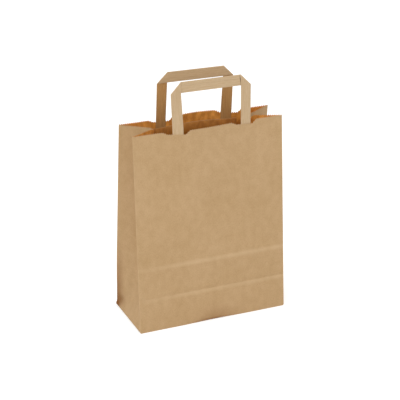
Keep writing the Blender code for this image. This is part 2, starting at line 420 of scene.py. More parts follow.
    def gusset(self, end: End, side: Side, along: Array, up: Array) -> Array:
        """Points of half of a gusset, from the bag's edge to the crease.

        Above half of the depth each level line runs straight from the edge to the crease. At that
        height the crease ends in a peak, and below it three triangles close the foot: a flat end
        wall and one on either side of it. There the way across, from the edge's to the peak's, is
        the lesser of the share along and the share of the peak's height, with a soft bend where
        the two meet.

        Args:
            end: Which side.
            side: Front or rear half.
            along: Distance from the edge, at most half of the depth.
            up: Place up the panel.

        Returns:
            Points, one more axis than the places.
        """
        sizes, relief = self.sizes, self.relief
        along, up = np.broadcast_arrays(along, up)
        share = along / sizes.half_depth
        outer = end.value * sizes.half_width
        edge = self.panel(side, np.full_like(up, outer), up)
        straight = edge + (self.gusset_crease(end, up) - edge) * share[..., None]
        peak = self.gusset_crease(end, np.full_like(up, sizes.half_depth))
        drop = sizes.half_depth * sizes.lean_cosine - peak[..., 2]
        level = edge[..., 2] - share * drop * (up / sizes.half_depth) ** 2
        raised = np.clip(level / peak[..., 2], 1e-6, 1)
        over = soft_limit(share / raised, relief.foot_bend * np.sqrt(1 - raised))
        across = outer + (peak[..., 0] - outer) * raised * over
        slanted = np.stack([across, straight[..., 1], level], axis=-1)
        low = up < sizes.half_depth
        point = np.where(low[..., None], slanted, straight)
        swell = self.gusset_swell(end, side, along, up)
        point[..., 0] += end.value * swell * relief.side_push[0]
        point[..., 1] += side.value * swell * relief.side_push[1]
        return point

    def mouth_height(self, flat_across: Array) -> Array:
        """Height of the knife's cut across the flattened tube, which dips for the handle legs.

        Args:
            flat_across: Place across the flattened tube.

        Returns:
            Height along the panel: a flat-bottomed dip at each leg, a little deeper to the right.
        """
        sizes = self.sizes
        height = np.full_like(flat_across, sizes.panel_height)
        for hand in (-0.5, 0.5):
            offset = flat_across - sizes.knife_offset - hand * sizes.dip_spacing
            share = np.clip(1 - (np.abs(offset) - sizes.dip_floor / 2) / sizes.dip_ramp, 0, 1)
            tilt = sizes.dip_tilt * np.clip(offset / (sizes.dip_floor / 2), -1, 1)
            height = height - (sizes.dip_depth + tilt) * share
        return height


def read_array(items: Any, field_name: str, width: int, kind: type = np.float64) -> Array:
    """Reads one field of a Blender collection as an array.

    Args:
        items: The collection.
        field_name: Name of the field.
        width: Numbers in each item.
        kind: Type of the numbers.

    Returns:
        An array of one row for each item.
    """
    values = np.empty(len(items) * width, dtype=np.float32 if kind is np.float64 else kind)
    items.foreach_get(field_name, values)
    return values.reshape(-1, width).astype(kind)


def write_attribute(mesh: bpy.types.Mesh, name: str, values: Array, domain: str = "POINT") -> None:
    """Stores one number, or one row of three, for each point or face of a mesh.

    Args:
        mesh: The mesh.
        name: Name of the new attribute.
        values: One number for each item, or items by three.
        domain: What the items are.
    """
    kind, field_name = ("FLOAT", "value") if values.ndim == 1 else ("FLOAT_VECTOR", "vector")
    layer = mesh.attributes.new(name, kind, domain)
    layer.data.foreach_set(field_name, values.ravel())


def mesh_piece(name: str, points: Array, loops: Array, sizes: Array) -> Piece:
    """Makes a smooth shaded piece from whole arrays, with its sharp edges kept.

    Args:
        name: Name of the piece and its mesh.
        points: Vertices by 3.
        loops: Vertex numbers of all faces, one after the other.
        sizes: How many vertices each face has.

    Returns:
        The piece, linked to the scene at the origin.
    """
    mesh = bpy.data.meshes.new(name)
    mesh.vertices.add(len(points))
    mesh.vertices.foreach_set("co", points.astype(np.float32).ravel())
    mesh.loops.add(len(loops))
    mesh.loops.foreach_set("vertex_index", loops.astype(np.int32))
    mesh.polygons.add(len(sizes))
    starts = np.concatenate([[0], np.cumsum(sizes)[:-1]])
    mesh.polygons.foreach_set("loop_start", starts.astype(np.int32))
    mesh.update(calc_edges=True)
    mesh.validate()
    mesh.shade_smooth()
    mesh.set_sharp_from_angle(angle=math.radians(SHARP_DEGREES))
    piece = bpy.data.objects.new(name, mesh)
    bpy.context.scene.collection.objects.link(piece)
    return piece


class PaperSheet:
    """A folded sheet of paper, gathered from grids on its middle surface."""

    def __init__(self, paper: float) -> None:
        """Starts an empty sheet.

        Args:
            paper: Thickness of the paper.
        """
        self.paper = paper
        self.points: list[Array] = []
        self.places: list[Array] = []
        self.quads: list[Array] = []
        self.count = 0

    def add_grid(self, points: Array, places: Array) -> None:
        """Adds the quads of a grid whose outside faces the viewer when rows go up and columns left.

        Args:
            points: Rows by columns by 3, on the middle of the paper.
            places: Rows by columns by 6: the same points on the flat sheet, their scuffing and painted
                highlight, their darkening, which is painted shade but for the glued lap, and how clear the
                low and the high creases are there.
        """
        rows, columns = points.shape[:2]
        index = np.arange(rows * columns).reshape(rows, columns) + self.count
        quads = np.stack([index[:-1, :-1], index[1:, :-1], index[1:, 1:], index[:-1, 1:]], axis=-1)
        self.points.append(points.reshape(-1, 3))
        self.places.append(places.reshape(-1, 6))
        self.quads.append(quads.reshape(-1, 4))
        self.count += rows * columns

    def welded(self) -> bpy.types.Mesh:
        """Makes the middle surface, with the grids joined where they meet.

        Returns:
            A mesh of one layer that carries the places as two attributes.
        """
        surface = bpy.data.meshes.new("middle_surface")
        surface.from_pydata(np.concatenate(self.points), [], np.concatenate(self.quads).tolist())
        places = np.concatenate(self.places)
        write_attribute(surface, SHEET_ATTRIBUTE, places[:, :3])
        write_attribute(surface, MARK_ATTRIBUTE, places[:, 3:])
        sheet = bmesh.new()
        sheet.from_mesh(surface)
        bmesh.ops.remove_doubles(sheet, verts=sheet.verts, dist=WELD)
        bmesh.ops.dissolve_degenerate(sheet, edges=sheet.edges, dist=SLIVER)
        sheet.to_mesh(surface)
        sheet.free()
        return surface

    def shell(self, name: str) -> Piece:
        """Gives the sheet its thickness.

        The two surfaces lie half of the thickness along the normal to either side, and a rim closes
        every cut edge. Both surfaces start each face at the same corner, so they split into the
        same triangles and never meet. Each face keeps which surface it belongs to.

        Args:
            name: Name of the new piece.

        Returns:
            The finished piece.
        """
        surface = self.welded()
        count = len(surface.vertices)
        points = read_array(surface.vertices, "co", 3)
        half = read_array(surface.vertex_normals, "vector", 3) * self.paper / 2
        layers = {
            layer: read_array(surface.attributes[layer].data, "vector", 3)
            for layer in (SHEET_ATTRIBUTE, MARK_ATTRIBUTE)
        }
        corners = read_array(surface.loops, "vertex_index", 1, np.int32)[:, 0]
        starts = read_array(surface.polygons, "loop_start", 1, np.int32)[:, 0]
        totals = read_array(surface.polygons, "loop_total", 1, np.int32)[:, 0]
        bpy.data.meshes.remove(surface)
        start_of = np.repeat(starts, totals)
        total_of = np.repeat(totals, totals)
        step = np.arange(len(corners)) - start_of
        after = corners[start_of + (step + 1) % total_of]
        turned_back = corners[start_of + (total_of - step) % total_of] + count
        # A cut edge is one that only a single face uses.
        low, high = np.minimum(corners, after), np.maximum(corners, after)
        key = low.astype(np.int64) * count + high
        _, place, uses = np.unique(key, return_index=True, return_counts=True)
        cut = place[uses == 1]
        first, second = corners[cut], after[cut]
        rim = np.stack([second, first, first + count, second + count], axis=-1)
        loops = np.concatenate([corners, turned_back, rim.ravel()])
        sizes = np.concatenate([totals, totals, np.full(len(rim), 4)])
        facing = np.repeat([item.value for item in Facing], [len(totals), len(totals), len(rim)])
        piece = mesh_piece(name, np.concatenate([points + half, points - half]), loops, sizes)
        for layer, values in layers.items():
            write_attribute(piece.data, layer, np.concatenate([values, values]))
        write_attribute(piece.data, FACING_ATTRIBUTE, facing, "FACE")
        return piece


@dataclass(frozen=True)
class Zone:
    """A stretch of the tube's wall, measured along the sheet."""

    start: float
    length: float
    side: Side
    end: End | None
    first: float
    heading: float
    outer_ply: bool

    def local(self, along: Array) -> Array:
        """Place across a panel, or distance from the edge of a gusset."""
        return self.first + self.heading * (along - self.start)


@dataclass(frozen=True)
class ShadeSpot:
    """A soft spot of painted shade, with its middle, its reach and its depth."""

    across: float
    up: float
    half_width: float
    half_height: float
    depth: float

    def spread(self, across: Array, up: Array) -> Array:
        """Depth times e to the minus (way across / reach) squared less (way up / reach) squared."""
        sideways = ((across - self.across) / self.half_width) ** 2
        return self.depth * np.exp(-sideways - ((up - self.up) / self.half_height) ** 2)


@dataclass
class BagBody:
    """The folded sheet: tube with gussets, lap and pinked mouth, and the block bottom."""

    sizes: BagSizes
    relief: Relief
    teeth: int = 78
    gusset_teeth: int = 17
    web_teeth: int = 20
    lap_columns: int = 4
    fold_columns: tuple[float, float] = (0.00018, 0.00040)
    # Painted shade where the front's bottom fold curls under, and at the rear left corner, counted from that
    # corner.
    front_shade_spots: tuple[ShadeSpot, ...] = (
        ShadeSpot(across=0.006, up=0.0, half_width=0.028, half_height=0.015, depth=0.36),
        ShadeSpot(across=-0.006, up=0.0, half_width=0.022, half_height=0.0028, depth=0.60),
    )
    corner_shade_spots: tuple[ShadeSpot, ...] = (
        ShadeSpot(across=0.0, up=0.0, half_width=0.0075, half_height=0.0055, depth=1.2),
        ShadeSpot(across=0.013, up=0.012, half_width=0.009, half_height=0.007, depth=0.35),
    )
    # A strip of painted shade up the rear left fold, where the paper turns away from the light.
    strip_depth: float = 0.80
    strip_half_width: float = 0.020
    strip_height: float = 0.125
    strip_turned_in: float = 0.006
    lap_depth: float = 0.09
    lap_blur: float = 0.001
    # How far scuffing and painted highlight reach beside the outward folds and above the bottom fold.
    worn_and_highlit_beside: float = 0.0012
    worn_and_highlit_above: float = 0.0014
    side_clear: float = 0.2

    def __post_init__(self) -> None:
        """Lays the stretches of the wall one after the other, from the outer ply of the lap."""
        sizes = self.sizes
        self.form = BagForm(sizes, self.relief)
        self.column = sizes.width / (2 * self.teeth)
        self.lap = self.lap_columns * self.column
        part = sizes.half_width + self.lap
        half = sizes.half_depth
        # Length, side and end, place across at its start, whether that grows, and if it laps over.
        stretches = (
            (part, Side.REAR, None, -self.lap, 1.0, True),
            (half, Side.REAR, End.RIGHT, 0.0, 1.0, False),
            (half, Side.FRONT, End.RIGHT, half, -1.0, False),
            (sizes.width, Side.FRONT, None, sizes.half_width, -1.0, False),
            (half, Side.FRONT, End.LEFT, 0.0, 1.0, False),
            (half, Side.REAR, End.LEFT, half, -1.0, False),
            (part, Side.REAR, None, -sizes.half_width, 1.0, False),
        )
        self.zones: list[Zone] = []
        start = 0.0
        for length, *rest in stretches:
            self.zones.append(Zone(start, length, *rest))
            start += length
        # The wall's four outward folds are where these stretches start, the rear left one last.
        self.edges = [self.zones[number].start for number in (1, 3, 4, 6)]

    def column_width(self, zone: Zone) -> float:
        """Width of a column of a stretch, which is half of a tooth."""
        return self.column if zone.end is None else zone.length / (2 * self.gusset_teeth)

    def zone_columns(self, zone: Zone) -> Array:
        """Places along one stretch: two for each tooth, and closer ones beside its folds.

        Args:
            zone: The stretch of wall.

        Returns:
            Places along the sheet, in order.
        """
        count = round(zone.length / self.column_width(zone))
        places = zone.start + np.linspace(0, zone.length, count + 1)
        near = np.array(self.fold_columns)
        beside = np.concatenate([zone.start + near, zone.start + zone.length - near])
        return np.unique(np.round(np.concatenate([places, beside]), 9))

    def tooth(self, zone: Zone, along: Array) -> Array:
        """Depth of the pinked cut, a row of triangles whose low points lie on the folds."""
        phase = (along - zone.start) / (2 * self.column_width(zone)) % 1.0
        return self.sizes.tooth_height * np.abs(1 - 2 * phase)

    def flat_across(self, zone: Zone, local: Array) -> Array:
        """Place across the flattened tube, where the knife cuts all plies at once."""
        return local if zone.end is None else zone.end.value * (self.sizes.half_width - local)

    def lap_lift(self, zone: Zone, across: Array) -> Array:
        """How far a panel stands out: its lap's outer ply by a ply, which it loses past the lap.

        Args:
            zone: The stretch of wall.
            across: Place across the panel.

        Returns:
            Distance outwards.
        """
        if not zone.outer_ply:
            return np.zeros_like(across)
        beyond = across - self.lap - self.sizes.lap_margin
        return self.sizes.ply * (1 - smooth_step(beyond / self.sizes.lap_jog))

    def raw_wall(self, along: Array, up: Array) -> Array:
        """Points of the wall with sharp folds, for any place along the sheet.

        Args:
            along: Place along the sheet.
            up: Place up the panel.

        Returns:
            Points, one more axis than the places.
        """
        along, up = np.broadcast_arrays(along, up)
        result = np.zeros(along.shape + (3,))
        rounding = 1e-12
        for zone in self.zones:
            inside = (along >= zone.start - rounding) & (along <= zone.start + zone.length + rounding)
            local = zone.local(along[inside])
            if zone.end is None:
                lifted = self.lap_lift(zone, local)
                result[inside] = self.form.panel(zone.side, local, up[inside], -lifted)
            else:
                result[inside] = self.form.gusset(zone.end, zone.side, local, up[inside])
        return result

    def fold_radius(self, place: float, up: Array) -> Array:
        """Reach of the rounding beside a fold: small, but wide just above the rear left one's foot.

        Args:
            place: Where the fold lies along the sheet.
            up: Place up the panel.

        Returns:
            The reach to either side.
        """
        relief = self.relief
        radius = np.full_like(up, relief.fold_radius)
        if place != self.edges[-1]:
            return radius
        faded = (1 - smooth_step(up / relief.heel_height)) ** 1.5
        return radius + relief.heel_radius * faded * smooth_step((up - relief.heel_floor) / relief.heel_onset)

    def wall(self, along: Array, up: Array) -> Array:
        """Points of the wall with rounded folds.

        Within the radius of a fold the point lies on a quadratic curve from the wall on one side of
        the fold, pulled by the fold's own line, to the wall on its other side.

        Args:
            along: Place along the sheet.
            up: Place up the panel.

        Returns:
            Points, one more axis than the places.
        """
        along, up = np.broadcast_arrays(along, up)
        result = self.raw_wall(along, up)
        for zone in self.zones[1:]:
            radius = self.fold_radius(zone.start, up)
            near = np.abs(along - zone.start) < radius
            reach, height = radius[near], up[near]
            share = ((along[near] - zone.start) / reach + 1) / 2
            before, middle, after = (self.raw_wall(zone.start + reach * part, height) for part in (-1, 0, 1))
            result[near] = blend_curve(before, middle, after, share)
        return result

    def base_level(self, zone: Zone) -> float:
        """Height of the ply that a stretch of the wall folds into."""
        sizes = self.sizes
        return sizes.level(sizes.flap_ply(zone.side) if zone.end is None else sizes.ear_ply)

    def foot(self, zone: Zone, along: Array, inwards: Array) -> Array:
        """Points of the flap or ear that a stretch of wall folds into, with a sharp fold.

        A long flap is as wide as the bag less its corner holes and loses as much on each end as it
        goes inwards, which gives its ends 45 degrees. An ear is as wide as the bag is deep, less
        the plies that turn round its edges.

        Args:
            zone: The stretch of wall.
            along: Place along the sheet.
            inwards: Distance from the fold.

        Returns:
            Points, one more axis than the places.
        """
        sizes = self.sizes
        along, inwards = np.broadcast_arrays(along, inwards)
        local = zone.local(along)
        level = self.base_level(zone)
        if zone.end is None:
            limit = sizes.half_width - sizes.corner_hole - inwards
            lifted = self.lap_lift(zone, local)
            depth = zone.side.value * (sizes.half_depth - level * sizes.lean + lifted - inwards)
            return np.stack([np.clip(local, -limit, limit), depth, level - lifted], axis=-1)
        full = sizes.half_depth - sizes.corner_hole
        inner = sizes.half_depth - 2 * sizes.ply
        narrow = full + (inner - full) * smooth_step(inwards / (sizes.corner_hole + 2 * sizes.ply))
        depth = zone.side.value * narrow * (1 - local / sizes.half_depth)
        across = zone.end.value * (sizes.half_width - inwards)
        return np.stack([across, depth, np.full_like(across, level)], axis=-1)

    def bottom_radius(self, zone: Zone, along: Array) -> Array:
        """Reach of the rounding at the bottom fold: the front one curls under in its middle.

        Args:
            zone: The stretch of wall.
            along: Place along the sheet.

        Returns:
            The reach to either side.
        """
        relief = self.relief
        radius = np.full_like(along, relief.fold_radius)
        if zone.end is None and zone.side is Side.FRONT:
            curl = hump(zone.local(along), relief.curl_place, relief.curl_half_width)
            radius = radius + relief.curl_radius * curl
        return radius

    def rise(self, zone: Zone, along: Array) -> Array:
        """Where the wall's lowest line lies: on its own ply, and on the ears' ply at the corners.

        Args:
            zone: The stretch of wall.
            along: Place along the sheet.

        Returns:
            Height above the floor.
        """
        sizes = self.sizes
        level, top = self.base_level(zone), sizes.level(sizes.ear_ply)
        if zone.end is not None:
            return np.full_like(along, top)
        beside = sizes.half_width - np.abs(zone.local(along))
        return level + (top - level) * (1 - smooth_step(beside / sizes.corner_rise))

    def bottom_fold(self, zone: Zone, along: Array, height: Array) -> Array:
        """Points beside the bottom fold, rounded like the other folds.

        Args:
            zone: The stretch of wall.
            along: Place along the sheet.
            height: Distance from the fold, up the wall or, below nought, into the foot.

        Returns:
            Points, one more axis than the places.
        """
        along, height = np.broadcast_arrays(along, height)
        low = self.rise(zone, along) / self.sizes.lean_cosine
        radius = self.bottom_radius(zone, along)
        wall = self.wall(along, low + np.maximum(height, 0))
        foot = self.foot(zone, along, np.maximum(-height, 0))
        sharp = np.where((height >= 0)[..., None], wall, foot)
        before = self.foot(zone, along, radius)
        line, after = self.wall(along, low), self.wall(along, low + radius)
        share = (np.clip(height / radius, -1, 1) + 1) / 2
        curve = blend_curve(before, line, after, share)
        return np.where((np.abs(height) < radius)[..., None], curve, sharp)

    def darkening(self, zone: Zone, along: Array, height: Array) -> Array:
        """How much darker the paper is made, in soft spots that are darkest at the folds.

        Painted shade lies where the front's bottom fold curls under, and at the rear left corner with a
        strip up its fold. The glued lap down the rear is a real shade darker.

        Args:
            zone: The stretch of wall.
            along: Place along the sheet.
            height: Distance from the bottom fold.

        Returns:
            Nought for clean paper, one and more for the darkest.
        """
        total = np.zeros(along.shape)
        across = zone.local(along)
        if zone.end is None and zone.side is Side.FRONT:
            # Painted shade where the front's bottom fold curls under.
            total = sum(darkening.spread(across, height) for darkening in self.front_shade_spots)
        elif zone.end is None:
            total = self.lap_depth * smooth_step((self.lap - np.abs(across)) / self.lap_blur + 0.5)
        if zone in self.zones[5:]:
            # Painted shade at the rear left corner and up its fold.
            beside = np.abs(along - self.edges[-1])
            total = sum((darkening.spread(beside, height) for darkening in self.corner_shade_spots), total)
            strip = hump(beside, 0.0, self.strip_half_width) * (1 - smooth_step(height / self.strip_height))
            strip = strip * smooth_step(1 + height / self.strip_turned_in)
            total = total + self.strip_depth * strip
        return total

    def marks(self, zone: Zone, along: Array, height: Array) -> Array:
        """Where the sheet carries scuffing and painted highlight, where it is darkened, and where its creases
        show.

        Scuffing and painted highlight lie along the outward folds and fade over a millimetre. The
        creases hardly go round the narrow sides.

        Args:
            zone: The stretch of wall.
            along: Place along the sheet.
            height: Distance from the bottom fold.

        Returns:
            The place along the sheet, the height, the scuffing and painted highlight, the darkening and
            the clearness of the low and the high creases of each point.
        """
        along, height = np.broadcast_arrays(along, height)
        distance = np.abs(along[..., None] - np.array(self.edges)).min(axis=-1)
        wear_and_highlight = np.maximum(hump(distance, 0.0, self.worn_and_highlit_beside), hump(height, 0.0, self.worn_and_highlit_above))
        low, high = np.zeros(along.shape), np.full(along.shape, self.side_clear)
        if zone.end is None:
            low = high = self.form.crease_strength(zone.side, zone.local(along))
        darkening = np.clip(self.darkening(zone, along, height), 0, 1)
        return np.stack([along, height, wear_and_highlight, darkening, low, high], axis=-1)

    def wall_rows(self) -> Array:
        """Heights of the wall's rows below the mouth, closer together at folds and creases.

        Returns:
            Heights in order, up to where the rows start to follow the cut.
        """
        fold = [0, 0.3, 0.6, 1.1, 1.8, 2.8, 4.0, 5.4, 7.2, *np.linspace(9.4, 42.5, 13)]
        nip = [44.8, 46.2, 47.1, 48, 48.9, 49.8, 51.2, 54, 59, 65, 72, 79, 84, 87]
        press = [89, 90.3, 91.5, 92.7, 94, 96, 99, 104, 110]
        return np.array([*fold, *nip, *press, *np.linspace(117, 255, 21)]) * MM

    def add_wall(self, sheet: PaperSheet) -> None:
        """Adds the tube: rows up to the mouth's foot, then rows that follow the pinked cut.

        Args:
            sheet: The sheet to add to.
        """
        rows = self.wall_rows()
        shares = np.array([0.25, 0.45, 0.62, 0.76, 0.87, 0.945, 1.0])
        tooth_foot = 0.35 * self.sizes.tooth_height
        for zone in self.zones:
            along = self.zone_columns(zone)
            grid, height = np.meshgrid(along, rows)
            low = self.rise(zone, along) / self.sizes.lean_cosine
            mouth = self.form.mouth_height(self.flat_across(zone, zone.local(along)))
            start = low + rows[-1]
            up = start + (mouth - start) * shares[:, None]
            up[-1] -= self.tooth(zone, along)
            up[-2] -= tooth_foot
            upper = self.wall(np.broadcast_to(along, up.shape), up)
            points = np.concatenate([self.bottom_fold(zone, grid, height), upper])
            sheet.add_grid(points, self.marks(zone, along, np.concatenate([height, up])))

    def foot_rows(self, zone: Zone) -> Array:
        """Distances of the rows of a flap or ear from its fold.

        Args:
            zone: The stretch of wall.

        Returns:
            Distances inwards, in order.
        """
        sizes = self.sizes
        middle = np.array([1.2, 2.4, 4.0, 7.2, 14, 22, 32, 44]) * MM
        shared = np.array([2 * sizes.ply, *middle, sizes.half_depth + sizes.flap_lap])
        if zone.end is None:
            return np.array([0.0, sizes.ply, *shared])
        return np.array([0.0, 0.6 * sizes.corner_hole, *(shared + sizes.corner_hole)])

    def add_foot(self, sheet: PaperSheet) -> None:
        """Adds the flaps and ears below the wall, with a pinked free edge.

        Args:
            sheet: The sheet to add to.
        """
        for zone in self.zones:
            along = self.zone_columns(zone)
            grid, inwards = np.meshgrid(along, self.foot_rows(zone)[::-1])
            reach, margin = inwards[0, 0], 5 * WELD
            cut = inwards.copy()
            free = np.ones_like(along)
            if zone.end is None:
                end = self.sizes.half_width - self.sizes.corner_hole - reach
                free = (np.abs(zone.local(along)) < end - margin).astype(float)
            cut[0] -= self.tooth(zone, along) * free
            points = self.bottom_fold(zone, grid, -cut)
            if zone.end is None:
                points[0, :, 0] = self.foot(zone, along, np.full_like(along, reach))[:, 0]
            sheet.add_grid(points, self.marks(zone, grid, -inwards))

    def add_webs(self, sheet: PaperSheet) -> None:
        """Adds the four triangles folded in between an ear and a long flap.

        Each runs from the flap's slanted end to the ear's side edge, flat on its own ply, with a
        turned edge of one ply at the flap and one up to the ear.

        Args:
            sheet: The sheet to add to.
        """
        sizes = self.sizes
        rows = self.foot_rows(self.zones[3])[3:]
        ear_edge = sizes.half_depth - 2 * sizes.ply
        share = np.linspace(0, 1, 2 * self.web_teeth + 1)[:, None]
        toothed = sizes.tooth_height * (np.arange(1, len(share) - 1) % 2)
        # The webs read their pattern from a place outside the rest of the sheet.
        pattern_place = 0.4
        for side in Side:
            flap_ply = sizes.flap_ply(side)
            flap_level, web_level = sizes.level(flap_ply), sizes.level(flap_ply + 1)
            slanted = side.value * (sizes.half_depth - flap_level * sizes.lean - rows)
            depth = slanted + (side.value * ear_edge - slanted) * share
            for end in End:
                across = end.value * (sizes.half_width - sizes.corner_hole - rows)
                across = np.broadcast_to(across, depth.shape)
                web = np.stack([across, depth, np.full_like(depth, web_level)], axis=-1)
                web[1:-1, -1, 0] += end.value * toothed
                whole = np.concatenate([web[:1], web, web[-1:]])
                whole[0, :, 2] = flap_level
                whole[-1, :, 1] = side.value * ear_edge
                whole[-1, :, 2] = sizes.level(sizes.ear_ply)
                if side.value * end.value < 0:
                    whole = whole[:, ::-1]
                plain = np.zeros(whole.shape[:2])
                places = [whole[..., 0], whole[..., 1] + pattern_place, *[plain] * 4]
                sheet.add_grid(whole, np.stack(places, axis=-1))

    def build(self) -> Piece:
        """Makes the whole folded sheet.

        Returns:
            The piece.
        """
        sheet = PaperSheet(self.sizes.paper)
        for add in (self.add_wall, self.add_foot, self.add_webs):
            add(sheet)
        return sheet.shell("folded_kraft_body")


@dataclass(frozen=True)
class HandleSizes:
    """Sizes of a folded tape handle, whose tape is 0.5 mm wider than the CAD's, and of its patch."""

    tape_width: float = 0.0150
    tape: float = 0.0005
    tape_edge: float = 0.0002
    last_ply: float = 0.00011
    last_ply_place: float = 0.0018
    last_ply_blur: float = 0.00006
    fold_gap: float = 0.00005
    width: float = 0.1150
    rise: float = 0.0645
    leg_glued: float = 0.049
    seat: float = 0.0003
    patch_width: float = 0.130
    patch_height: float = 0.040
    patch_drop: float = 0.014
    patch_margin: float = 0.0006
    patch_ramp: float = 0.0020
    patch_paper: float = 0.00015

    @property
    def leg_place(self) -> float:
        """From the middle of the handle to the middle of a leg."""
        return (self.width - self.tape_width) / 2


@dataclass(frozen=True)
class LegSet:
    """How a leg was glued in: moved to the right, leaning to the right up to the grip, and lower."""

    shift: float = 0.0
    lean: float = 0.0
    drop: float = 0.0


@dataclass
class GluedIn:
    """A piece glued inside a long panel, and how the two legs of its handle were set."""

    name: str
    side: Side
    centre: float
    form: BagForm
    sizes: HandleSizes
    legs: tuple[LegSet, LegSet]


@dataclass
class TapeHandle(GluedIn):
    """A handle of folded paper tape: two legs, each turned over at 45 degrees into the grip.

    The side of the tape that faces into the bag is painted browner, as painted shade and warm bounce light.
    """

    face_columns: int = 11
    leg_rows: int = 26
    turn_rows: int = 9
    grip_rows: int = 12
    straight_from: float = 0.0095
    # How much of the painted inner shade the grip gets.
    grip_painted_inner_shade: float = 0.2

    def profile(self) -> tuple[Array, Array]:
        """Outline of the tape: rounded edges, and on one face the edge of its last ply.

        Returns:
            Places across the tape and through its thickness, going round once.
        """
        sizes = self.sizes
        half, thick = sizes.tape_width / 2, sizes.tape / 2
        thin = thick - sizes.last_ply
        face = np.linspace(-half + sizes.tape_edge, half - sizes.tape_edge, self.face_columns)
        back = face[::-1]
        lower = np.where(back > sizes.last_ply_place, thick, thin)
        step = np.searchsorted(-back, -sizes.last_ply_place)
        beside = [sizes.last_ply_place + sizes.last_ply_blur, sizes.last_ply_place - sizes.last_ply_blur]
        back = np.insert(back, step, beside)
        lower = np.insert(lower, step, [thick, thin])
        across = np.concatenate([face, [half, half], back, [-half, -half]])
        # Two more points round each edge off.
        right, left = [-0.5 * thick, 0.5 * thick], [0.2 * thick, -0.5 * thick]
        through = np.concatenate([np.full(len(face), -thick), right, lower, left])
        return across, through

    def rows(self) -> tuple[Array, Array, float]:
        """Rows along half of the strip, which slant beside the mitre to run along it.

        Returns:
            Place of each row along the strip's middle from the fold, its slant, and the fold's arc.
        """
        sizes = self.sizes
        arc = math.pi * (sizes.tape + sizes.fold_gap) / 2
        glued = sizes.rise + sizes.leg_glued - sizes.tape_width / 2
        leg = np.linspace(-glued, -self.straight_from, self.leg_rows)
        near = np.array([-0.0070, -0.0045, -0.0025, -0.0013])
        slant = np.array([0.30, 0.60, 0.85, 1.0])
        turn = np.linspace(-arc / 2, arc / 2, self.turn_rows) * math.sqrt(2)
        grip = np.linspace(self.straight_from, sizes.leg_place, self.grip_rows)
        offsets = np.concatenate([leg, near, turn, -near[::-1], grip])
        slants = [np.zeros(len(leg)), slant, np.ones(len(turn)), slant[::-1], np.zeros(len(grip))]
        return offsets, np.concatenate(slants), arc

    def half_strip(self) -> tuple[Array, Array, Array, Array]:
        """Half of the handle as a flat strip folded over once.

        A place on the strip has a distance from the 45 degree fold line. Up to the fold's arc it
        stays where it is, on the arc it goes half round a circle as wide as the tape is thick, and
        beyond it is mirrored in the fold line, one tape further in.

        Returns:
            Across, up, inset and painted inner shade of each point of half of the handle.
        """
        sizes = self.sizes
        offsets, slants, arc = self.rows()
        across, through = self.profile()
        travel = offsets[:, None] + slants[:, None] * across
        distance = (travel - across) / math.sqrt(2)
        level = (travel + across) / math.sqrt(2)
        radius = (sizes.tape + sizes.fold_gap) / 2
        angle = np.clip((distance + arc / 2) / radius, 0, math.pi)
        bend = -arc / 2 + radius * np.sin(angle)
        beyond = np.where(distance > arc / 2, -distance, bend)
        pushed = np.where(distance < -arc / 2, distance, beyond) - np.sin(angle) * through
        inset = radius * (1 - np.cos(angle)) + np.cos(angle) * through
        sideways = (level - pushed) / math.sqrt(2)
        upwards = (level + pushed) / math.sqrt(2)
        inner_face = np.cos(angle) * through > 0
        # Painted shade on the faces that look into the bag: full on the legs, less on the grip.
        painted_inner_shade = np.where(inner_face, np.where(distance < 0, 1.0, self.grip_painted_inner_shade), 0.0)
        top = self.form.sizes.panel_height + sizes.rise - sizes.tape_width / 2
        return sideways - sizes.leg_place, upwards + top, inset, painted_inner_shade

    def place(self, across: Array, up: Array, inset: Array) -> Array:
        """Points of the handle: on the bowed panel up to the mouth, in one flat strip at the grip.

        Each leg then moves as a whole to where it was glued, and the grip between them follows.

        Args:
            across: Place across from the middle of the handle.
            up: Place up the panel.
            inset: Distance inwards from the panel's middle surface.

        Returns:
            Points, one more axis than the places.
        """
        sizes = self.sizes
        points = self.form.panel(self.side, self.centre + across, up, inset)
        left, right = (
            self.form.panel(self.side, np.full_like(across, self.centre + hand * sizes.leg_place), up, inset)
            for hand in (-1, 1)
        )
        share = (across + sizes.leg_place) / (2 * sizes.leg_place)
        straight = left + (right - left) * share[..., None]
        turned = np.clip((up - self.form.sizes.panel_height) / (sizes.rise - sizes.tape_width), 0, 1)
        points = points + (straight - points) * turned[..., None]
        inner = sizes.leg_place - sizes.tape_width / 2
        share = np.clip((across / inner + 1) / 2, 0, 1)
        for leg, part in zip(self.legs, (1 - share, share)):
            points[..., 0] += (leg.shift + leg.lean * turned) * part
            points[..., 2] -= leg.drop * part
        return points

    def build(self) -> Piece:
        """Makes the handle from its left half and the mirror image of it.

        Returns:
            The piece, with the places of its points on the flat tape and their painted inner shade.
        """
        sizes = self.sizes
        across, up, inset, painted_inner_shade = self.half_strip()
        seat = self.form.sizes.paper / 2 + sizes.seat + sizes.tape / 2
        across = np.concatenate([across, -across[-2::-1]])
        up, inset, painted_inner_shade = (np.concatenate([part, part[-2::-1]]) for part in (up, inset, painted_inner_shade))
        rows, columns = across.shape
        index = np.arange(rows * columns).reshape(rows, columns)
        beside = np.roll(index, -1, axis=1)
        quads = np.stack([index[:-1], beside[:-1], beside[1:], index[1:]], axis=-1).reshape(-1, 4)
        caps = [index[0][::-1], index[-1]]
        if self.side is Side.REAR:
            quads = quads[:, ::-1]
            caps = [cap[::-1] for cap in caps]
        loops = np.concatenate([quads.ravel(), *caps])
        counts = np.concatenate([np.full(len(quads), 4), [columns, columns]])
        points = self.place(across, up, inset + seat)
        piece = mesh_piece(self.name, points.reshape(-1, 3), loops, counts)
        offsets = self.rows()[0]
        run = np.concatenate([offsets, 2 * offsets[-1] - offsets[-2::-1]])
        flat_across, flat_through = self.profile()
        flat = np.stack(np.broadcast_arrays(flat_across, run[:, None], flat_through), axis=-1)
        write_attribute(piece.data, SHEET_ATTRIBUTE, flat.reshape(-1, 3))
        write_attribute(piece.data, PAINTED_INNER_SHADE_ATTRIBUTE, painted_inner_shade.ravel())
        return piece


